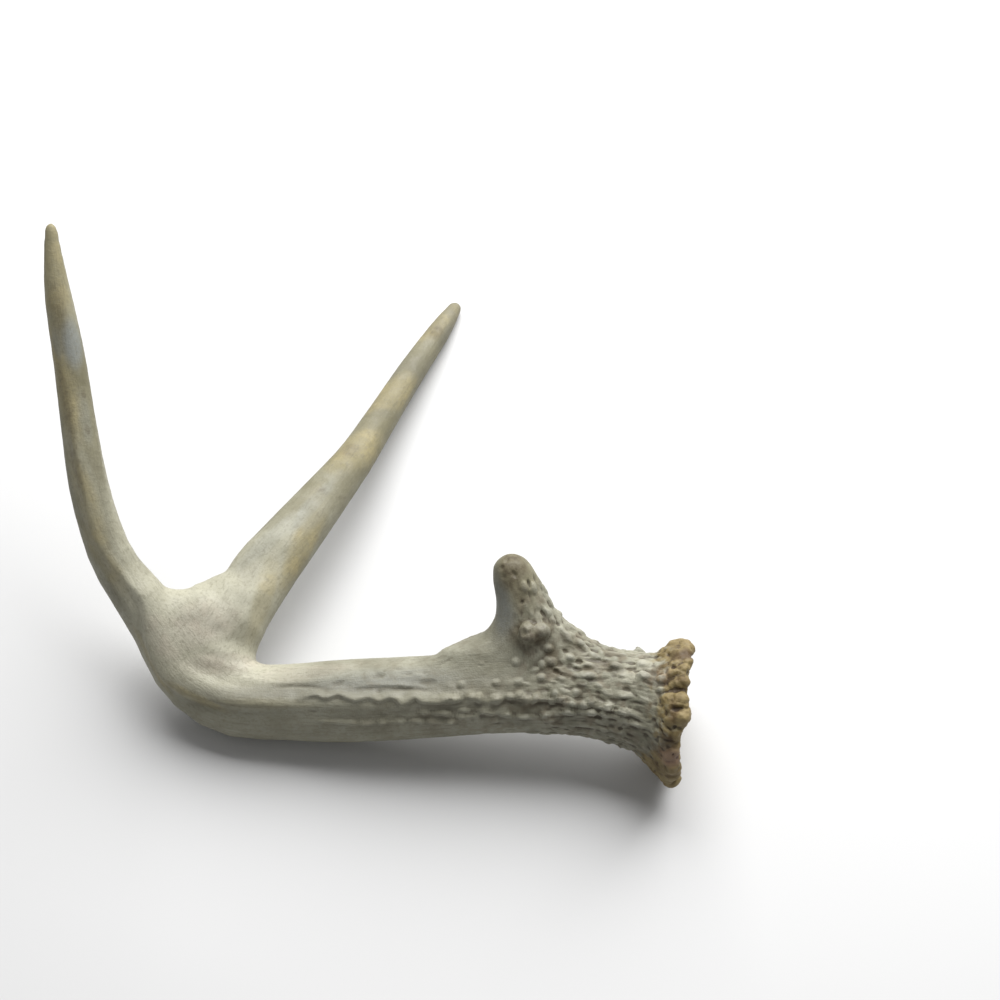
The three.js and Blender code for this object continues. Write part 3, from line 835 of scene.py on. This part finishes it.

# %% [markdown]
# ## What the material needs to know
#
# Dirt and weathering follow the relief: hollows hold it and high places are worn pale. The same
# darkening in the hollows is partly painted shade, the shadow that falls into creases and round the
# pearls. So the height of each corner above its surroundings is stored while the corners still stand
# evenly. Beside it go the zones of the antler, each from 0 to 1: the burr, the tines, the sawn face and
# the trough round it.

# %% Store the relief and the zones
HOLLOW_DEPTH = 0.5
co = corners(antler.data)
out = melted(normals(antler.data), ends, 4, everywhere, pushes=(0.5,))
out /= np.linalg.norm(out, axis=1)[:, None]
relief = ((co - melted(co, ends, 40, everywhere, pushes=(0.5,))) * out).sum(1) / MM
inside_rim = on_base(own)
trough = inside_rim * (1 - face_share)
burr_share = np.clip((own[:, 0] + 20 + 8 * fade(own[:, 1], -14, -24)) / 16, 0, 1)
zones = {
    "relief": np.clip(relief / HOLLOW_DEPTH, -1, 1),
    "burr": np.maximum(burr_share * (1 - inside_rim), trough),
    "trough": trough * fade(base_places(own)[0], 1.0, 4.0),
    "sawn": face_share,
    "tine": np.choose(limb, [fade(own[:, 1], 45, 130), fade(own[:, 1], 40, 54), fade(own[:, 1], 45, 110)]),
}
for name, values in zones.items():
    put(antler.data, name, "FLOAT", values)
print("relief from", round(float(relief.min()), 2), "to", round(float(relief.max()), 2), "mm")

# %% [markdown]
# ## Stains and painted shade, listed one by one
#
# Weather doesn't stain an antler evenly. Each stain here is a soft oval on the z side with a kind: amber
# where the bone is polished and waxy, umber where dirt has settled, blue where the compact skin is so
# thin that it looks grey-blue, bleached where the sun fell, and rosy where a trace of blood is left. One
# kind is no stain but painted shade: a neutral grey laid on the shaft's middle band, the brow tine's left
# side, the upper part of the tip and the foot of the burr, where they lie in shadow. An image could hold
# them too, but ovals stay sharp at any size and need no file.

# %% Soft ovals of each kind
STAINS = {
    "amber": [
        # x, y, half length, half width, angle, strength
        (-249.5, 170, 20, 8, -83, 0.6), (-244.5, 123, 24, 4.5, -80, 0.8), (-234, 75, 22, 4, -75, 0.6),
        (-229, 56, 16, 4, -60, 0.5), (-131, 98, 14, 7, 55, 0.8), (-118, 120, 14, 7, 55, 0.8),
        (-102, 145, 14, 8, 55, 0.6), (-93, 151, 7, 5, 55, 0.3), (-150, 62, 22, 5, 54, 0.8),
        (-166, 40, 16, 4, 65, 0.5), (-66, 44, 10, 6, -70, 0.3), (-209, 14, 14, 2.2, -66, 0.7),
        (-193, 1.8, 14, 2.2, -22, 0.7), (-165, -1.2, 18, 2, 0, 0.2), (-6, 4, 12, 5, 60, 0.5),
    ],
    "umber": [
        (-246.5, 150, 12, 3, -83, 0.25), (-243, 115, 18, 2.2, -80, 0.4), (-239, 92, 14, 2, -78, 0.3),
        (-132.6, 97.5, 4.2, 3.2, 50, 0.4), (-98.8, 143.6, 4, 2.6, 60, 0.4), (-143.5, 82, 1.6, 0.8, 30, 0.7),
        (-136, 79, 3, 0.8, 0, 0.4), (-1.2, 17.4, 3, 4.5, 80, 1), (-6.3, -4.9, 2, 4, 0, 0.8),
        (-9.3, -16.6, 4, 3, 60, 0.9), (-6.8, -29, 6, 4, 0, 0.25), (-13.6, -18.5, 4, 2, -45, 0.6),
        (-3.6, 8, 3, 1.2, 0, 0.6), (-69, 53, 5, 6, 0, 0.9), (-70, 47, 4, 4.5, 0, 0.6),
        (-66.5, 41, 2.5, 3, 0, 0.4), (-62.5, 26.5, 7, 5, 0, 0.7), (-58.2, 26.5, 4, 4, 0, 0.6),
        (-52, 11.5, 5, 3, -20, 0.6), (-34, 13.5, 3.5, 2.5, 0, 0.7), (-39, 12, 3, 2, 0, 0.5),
        (-54, 17, 3, 5, 0, 0.6), (-45, 20, 6, 3, -35, 0.4), (-28, 12, 5, 2.5, -20, 0.3),
        (-78, 4, 12, 3, 0, 0.2), (-62, -1, 10, 4, 0, 0.25), (-236.3, 119, 1.6, 0.9, -80, 0.6),
        (-235.3, 105.3, 2.2, 0.9, -75, 0.6), (-184, 12, 10, 2.5, -10, 0.2),
    ],
    "blue": [
        (-240.5, 139, 9, 4, -80, 0.9), (-246.8, 139, 6, 2.2, -82, 0.5), (-236, 110, 10, 2.5, -78, 0.3),
        (-163, 64, 20, 3.5, 52, 0.25), (-138, 98, 14, 3, 55, 0.5), (-146, 72, 10, 3, 50, 0.3),
        # the oval at x -120 greys the shaft's middle band, where it lies in shadow: painted shade
        (-120, 8, 26, 5, 0, 0.3), (-73, 36, 10, 5, -80, 0.5),
    ],
    "bleached": [
        (-157, 80, 24, 4.5, 50, 0.55), (-172, 60, 12, 5, 52, 0.5), (-197, 34, 30, 20, 60, 0.75),
        (-178, 14, 26, 9, 0, 0.9), (-168, 36, 22, 9, 60, 0.6), (-224, 74, 40, 5, -72, 0.5),
        (-241, 152, 22, 3, -82, 0.3), (-20, 12, 8, 5, 0, 0.5), (-219, 44, 16, 4, -60, 0.9),
        (-236, 84, 26, 4, -76, 0.5), (-246, 130, 30, 4, -83, 0.4), (-250, 170, 16, 5, -85, 0.25),
    ],
    # Painted shade: grey on places that lie in shadow, such as the shaft's middle band and the brow's left
    # side
    "painted_shade": [
        (-128, 4.6, 52, 4.6, 0, 0.9), (-106, 7, 22, 6, 0, 0.4), (-94, 149, 18, 8, 56, 0.75),
        (-112, 124, 22, 9, 56, 0.5), (-130, 97, 20, 9, 55, 0.15), (-74, 38, 15, 5, -88, 1),
        (-70, 46, 10, 7, 80, 0.3), (-5, -24, 9, 9, 0, 0.4),
    ],
    "rosy": [
        (-7.8, -22.4, 5, 4, 0, 0.9), (-12, 9, 5, 3, 0, 0.5), (-190, 30, 13, 8, 20, 0.6),
        (-182, 14, 16, 4, 5, 0.5), (-205, 24, 10, 5, -60, 0.4), (-150, 11, 20, 4, 0, 0.3),
    ],
}


for name, stains in STAINS.items():
    amount = np.zeros(len(co))
    for x, y, half_length, half_width, angle, strength in stains:
        near, reach, facing = oval(on_front(x, y), heading_of(angle), half_length, half_width, 1.6)
        inside = fade(reach, 1.9, 0.1) * fade(facing, -0.2, 0.3)
        amount[near] = np.maximum(amount[near], strength * inside)
    put(antler.data, name, "FLOAT", amount)
    print(name, "covers", round(100 * float((amount > 0.3).mean()), 1), "% of the corners")

# %% [markdown]
# ## Fewer faces where the bone is smooth
#
# The polished tines need far fewer faces than the burr. Decimate always joins the two corners whose loss
# changes the surface least, so it takes the tines first and leaves the pearls, until the whole piece is
# within the limit for one piece. A vertex group isn't needed, because the relief is real geometry by now.

# %% Thin the mesh out on the tines
MOST_TRIANGLES = 190000


def triangles(mesh):
    """How many triangles a mesh comes to."""
    mesh.calc_loop_triangles()
    return len(mesh.loop_triangles)


thinner = antler.modifiers.new("Thinner", "DECIMATE")
thinner.ratio = MOST_TRIANGLES / triangles(antler.data)
baked(antler)
print("antler:", triangles(antler.data), "triangles")

# %% [markdown]
# ## Weathered antler
#
# Antler is bone with a thin compact skin. Out of doors it bleaches to grey ivory; tannin from bark and
# leaves stays as brown in every hollow, and that brown is deepened as painted shade in the creases and
# crevices. The polished tines keep a yellow, waxy look, and the burr, which held living skin last, is the
# darkest. A neutral grey is painted as shade where parts lie in shadow. It is matt, so the gloss is low,
# with a refractive index of 1.54.

# %% Colours, attributes and patterns
def colour(code):
    """A linear colour from an sRGB hex value."""
    values = [int(code[i:i + 2], 16) / 255 for i in (1, 3, 5)]
    return (*(v / 12.92 if v <= 0.04045 else ((v + 0.055) / 1.055) ** 2.4 for v in values), 1.0)


bone = bpy.data.materials.new("weathered antler")
bone.use_nodes = True
tree = bone.node_tree
skin_shader = tree.nodes["Principled BSDF"]
grain_place = add(tree, "ShaderNodeAttribute", attribute_name="grain").outputs["Vector"]
place = add(tree, "ShaderNodeTexCoord").outputs["Object"]
zone = {
    name: add(tree, "ShaderNodeAttribute", attribute_name=name).outputs["Fac"]
    for name in ("rough", *zones, *STAINS)
}


def pattern(size, low, high, detail=2.0, stretch=None):
    """Noise of that size in mm, from 0 to 1 between two of its levels. Stretched, it follows the grain."""
    feeds = {"Vector": place, "Scale": 1 / (size * MM)}
    if stretch:
        feeds = {"Vector": stretched(grain_place, stretch, size), "Scale": 1.0}
    noise = add(tree, "ShaderNodeTexNoise", feeds | {"Detail": detail})
    return add(tree, "ShaderNodeMapRange", {"Value": noise, 1: low, 2: high}, **SMOOTH)


def painted(under, layers):
    """Colours laid over one another, each as dense as the product of its masks."""
    for code, *masks in layers:
        density = masks[0]
        for mask in masks[1:]:
            density = add(tree, "ShaderNodeMath", {0: density, 1: mask}, operation="MULTIPLY")
        mix = add(tree, "ShaderNodeMix", {0: density, 6: under, 7: colour(code)}, data_type="RGBA")
        under = mix.outputs[2]
    return under


print("the material reads", len(zone), "zones")

# %% Paint the bone, the burr and the sawn face
# Darker in the hollows: part tannin dirt, part painted shade in the creases and round the pearls.
hollow_dirt_and_shade = add(tree, "ShaderNodeMapRange", {"Value": zone["relief"], 1: 0.02, 2: -0.62}, **SMOOTH)
crests = add(tree, "ShaderNodeMapRange", {"Value": zone["relief"], 1: 0.1, 2: 0.9}, **SMOOTH)
streaks = pattern(1.3, 0.42, 0.7, 3, stretch=24)
blotches = pattern(6, 0.4, 0.62, 3)
mottled = pattern(2.2, 0.42, 0.66, 3)
shade = painted(colour("#999785"), [
    ("#898673", pattern(16, 0.35, 0.68, 3)),
    ("#757060", streaks, 0.3),
    ("#817c62", zone["tine"], 0.9),
    ("#767157", zone["tine"], pattern(14, 0.4, 0.62), 0.8),
    ("#bab7a2", zone["bleached"], 0.8),
    ("#a5a290", zone["bleached"], pattern(3, 0.42, 0.64, 3), 0.5),
    # painted shade: the neutral grey ovals of the stain list, where the bone lies in shadow
    ("#6e6c60", zone["painted_shade"], 0.8),
    ("#b3ab9e", zone["rosy"], 0.6),
    ("#b3a290", zone["rosy"], blotches, 0.35),
    ("#968b64", zone["amber"], 0.75),
    ("#a99c72", zone["amber"], pattern(9, 0.45, 0.65), 0.6),
    ("#868b8a", zone["blue"], 0.8),
    ("#67624f", pattern(0.8, 0.52, 0.7, 3, stretch=3), 0.28),
    ("#726d59", pattern(1.5, 0.5, 0.68, 4), 0.28),
    ("#b7b5a4", pattern(1.2, 0.55, 0.72, 3), 0.1),
    ("#6a6957", zone["rough"], pattern(9, 0.42, 0.62, 3), 0.6),
    ("#6c614f", zone["rough"], pattern(5, 0.5, 0.66, 3), 0.55),
    # dark hollows: tannin dirt and painted shade in the creases
    ("#463d2e", zone["rough"], hollow_dirt_and_shade, 0.9),
    ("#5a5544", hollow_dirt_and_shade, 0.5),
    ("#aeada0", zone["rough"], crests, 0.3),
    ("#5a5038", zone["umber"], 0.75),
    ("#463a28", zone["umber"], mottled, 0.7),
])
burr_shade = painted(colour("#6b5b33"), [
    ("#8b7b52", blotches, 0.8),
    ("#4d3d1f", pattern(5, 0.5, 0.66, 3), 0.75),
    ("#928158", crests, 0.5),
    ("#8d7264", zone["rosy"], 0.7),
    ("#4b3518", zone["umber"], 0.85),
    # painted shade and dirt deep in the burr's crevices
    ("#35240f", hollow_dirt_and_shade, 0.85),
])
trough_shade = painted(colour("#6a5424"), [
    ("#84703a", pattern(4, 0.4, 0.62, 3)),
    ("#4a3419", pattern(2.4, 0.45, 0.7, 4), 0.7),
    # painted shade and dirt in the hollows of the trough
    ("#2e1d0e", hollow_dirt_and_shade, 0.6),
])
sawn_shade = painted(colour("#bdaf88"), [
    ("#aa9b75", pattern(8, 0.4, 0.62), 0.7),
    ("#94845e", pattern(0.7, 0.55, 0.75, 2), 0.5),
    ("#cabf9a", pattern(12, 0.45, 0.6), 0.6),
])
burr_edge = {0: pattern(4, 0.3, 0.7, 3), 1: 0.5, 2: zone["burr"]}
burr_edge = add(tree, "ShaderNodeMath", burr_edge, operation="MULTIPLY_ADD")
burr_mask = add(tree, "ShaderNodeMapRange", {"Value": burr_edge, 1: 0.45, 2: 0.95}, **SMOOTH)
for mask, over in [(burr_mask, burr_shade), (zone["trough"], trough_shade), (zone["sawn"], sawn_shade)]:
    shade = add(tree, "ShaderNodeMix", {0: mask, 6: shade, 7: over}, data_type="RGBA").outputs[2]
tree.links.new(shade, skin_shader.inputs["Base Color"])

# %% Gloss and the finest relief
gloss = add(tree, "ShaderNodeMapRange", {"Value": pattern(5, 0.3, 0.7), 3: 0.55, 4: 0.75})
tree.links.new(gloss.outputs[0], skin_shader.inputs["Roughness"])
skin_shader.inputs["IOR"].default_value = 1.54
lines_bump = add(tree, "ShaderNodeBump", {
    "Height": pattern(0.8, 0.3, 0.7, 3, stretch=9), "Distance": 0.12 * MM, "Strength": 0.35,
})
pore_bump = add(tree, "ShaderNodeBump", {
    "Height": pattern(0.7, 0.3, 0.7, 2), "Distance": 0.1 * MM, "Strength": 0.4, "Normal": lines_bump,
})
tree.links.new(pore_bump.outputs[0], skin_shader.inputs["Normal"])
antler.data.materials.clear()
antler.data.materials.append(bone)
print(bone.name, "has", len(tree.nodes), "nodes")

# %% [markdown]
# ## Joining the frame
#
# The finished skin stands for all four solids, and moves with the one body that they belong to. One
# object is enough, because a real antler has no seams and none of its limbs moves.

# %% Hand the piece to the frame
for face in antler.data.polygons:
    face.use_smooth = True
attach(antler, "root")
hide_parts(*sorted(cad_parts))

# %% [markdown]
# ## Camera, table and light
#
# The antler is seen from straight above its z side, so the camera leans over by as much as the antler
# does, and a long lens keeps near and far limbs in proportion. One lamp stands high behind the antler and
# is large, because a small one would cut every groove out with a hard shadow. A white world fills the rest.

# %% Camera
camera_data = bpy.data.cameras.new("camera")
camera_data.lens = 85
camera_data.sensor_width = 36
camera = object_of("camera", camera_data)
camera.location = laid(EYE)
camera.rotation_euler = (LEAN, 0, 0)
bpy.context.scene.camera = camera
print("the camera stands", round(camera.location.z, 2), "m above the table")

# %% Table and light
TABLE_GREY = (0.65, 0.65, 0.65, 1)
LAMP_PLACE = (0.28, 0.85, 1.05)
LAMP_AIM = Vector((0, 0, 0.03))

floor_mesh = bpy.data.meshes.new("floor")
floor_shape = bmesh.new()
bmesh.ops.create_grid(floor_shape, x_segments=1, y_segments=1, size=3)
floor_shape.to_mesh(floor_mesh)
floor = object_of("floor", floor_mesh)
floor_material = bpy.data.materials.new("floor")
floor_material.use_nodes = True
floor_material.node_tree.nodes["Principled BSDF"].inputs["Base Color"].default_value = TABLE_GREY
floor.data.materials.append(floor_material)

lamp_data = bpy.data.lights.new("lamp", "AREA")
lamp_data.energy = 44
lamp_data.size = 1.5
lamp = object_of("lamp", lamp_data)
lamp.location = LAMP_PLACE
lamp.rotation_euler = (LAMP_AIM - lamp.location).to_track_quat("-Z", "Y").to_euler()
world = bpy.data.worlds.new("world")
bpy.context.scene.world = world
world.use_nodes = True
sky = world.node_tree.nodes["Background"].inputs
sky["Color"].default_value = (1, 1, 1, 1)
sky["Strength"].default_value = 0.24
bpy.context.scene.view_settings.view_transform = "Standard"
print("lamp of", lamp_data.energy, "W")
